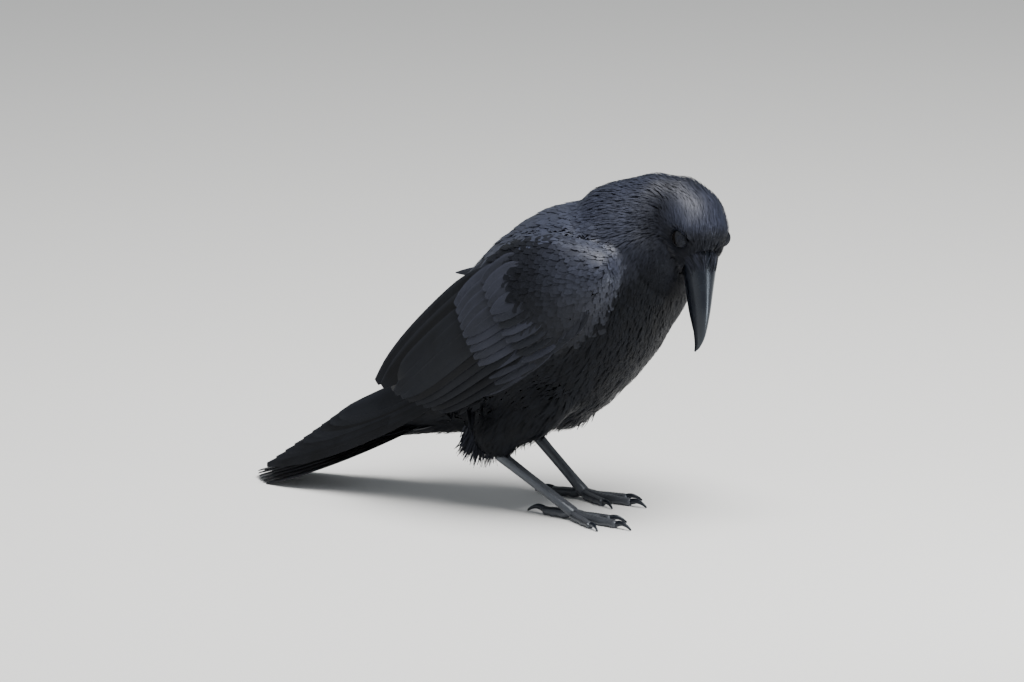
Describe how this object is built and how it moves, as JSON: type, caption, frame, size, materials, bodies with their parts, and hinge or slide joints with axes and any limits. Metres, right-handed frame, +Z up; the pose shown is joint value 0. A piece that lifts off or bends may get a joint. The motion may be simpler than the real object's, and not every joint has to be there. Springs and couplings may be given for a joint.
{
  "type": "crow",
  "caption": "Life-size black crow standing on both feet with folded wings, head bent down to its right and tail resting on the ground.",
  "frame": {"origin": "on the ground under the middle of the bird's box", "axes": "+Z up; the bird faces -Y, so its tail points along +Y, and +X is its left side"},
  "size_m": [0.121, 0.323, 0.2165],
  "materials": {
    "plumage": "near-black body plumage with a faint violet-grey sheen",
    "flight_feathers": "black flight feathers with a soft bluish sheen",
    "horn": "satin black bill and claws",
    "scales": "dark grey scaled skin of the legs and toes",
    "eye": "very dark brown, wet and glossy"
  },
  "bodies": {
    "root": {"head": "plumage", "neck": "plumage", "trunk": "plumage", "bill_upper": "horn", "bill_lower": "horn", "tail": "flight_feathers", "eye_right": "eye", "eye_left": "eye", "wing_right": "flight_feathers", "wing_left": "flight_feathers", "wing_tip_right": "flight_feathers", "wing_tip_left": "flight_feathers", "thigh_right": "plumage", "thigh_left": "plumage", "tarsus_right": "scales", "tarsus_left": "scales", "toe_middle_right": "scales", "toe_inner_right": "scales", "toe_outer_right": "scales", "toe_hind_right": "scales", "toe_middle_left": "scales", "toe_inner_left": "scales", "toe_outer_left": "scales", "toe_hind_left": "scales", "claw_middle_right": "horn", "claw_inner_right": "horn", "claw_outer_right": "horn", "claw_hind_right": "horn", "claw_middle_left": "horn", "claw_inner_left": "horn", "claw_outer_left": "horn", "claw_hind_left": "horn"}
  },
  "joints": []
}
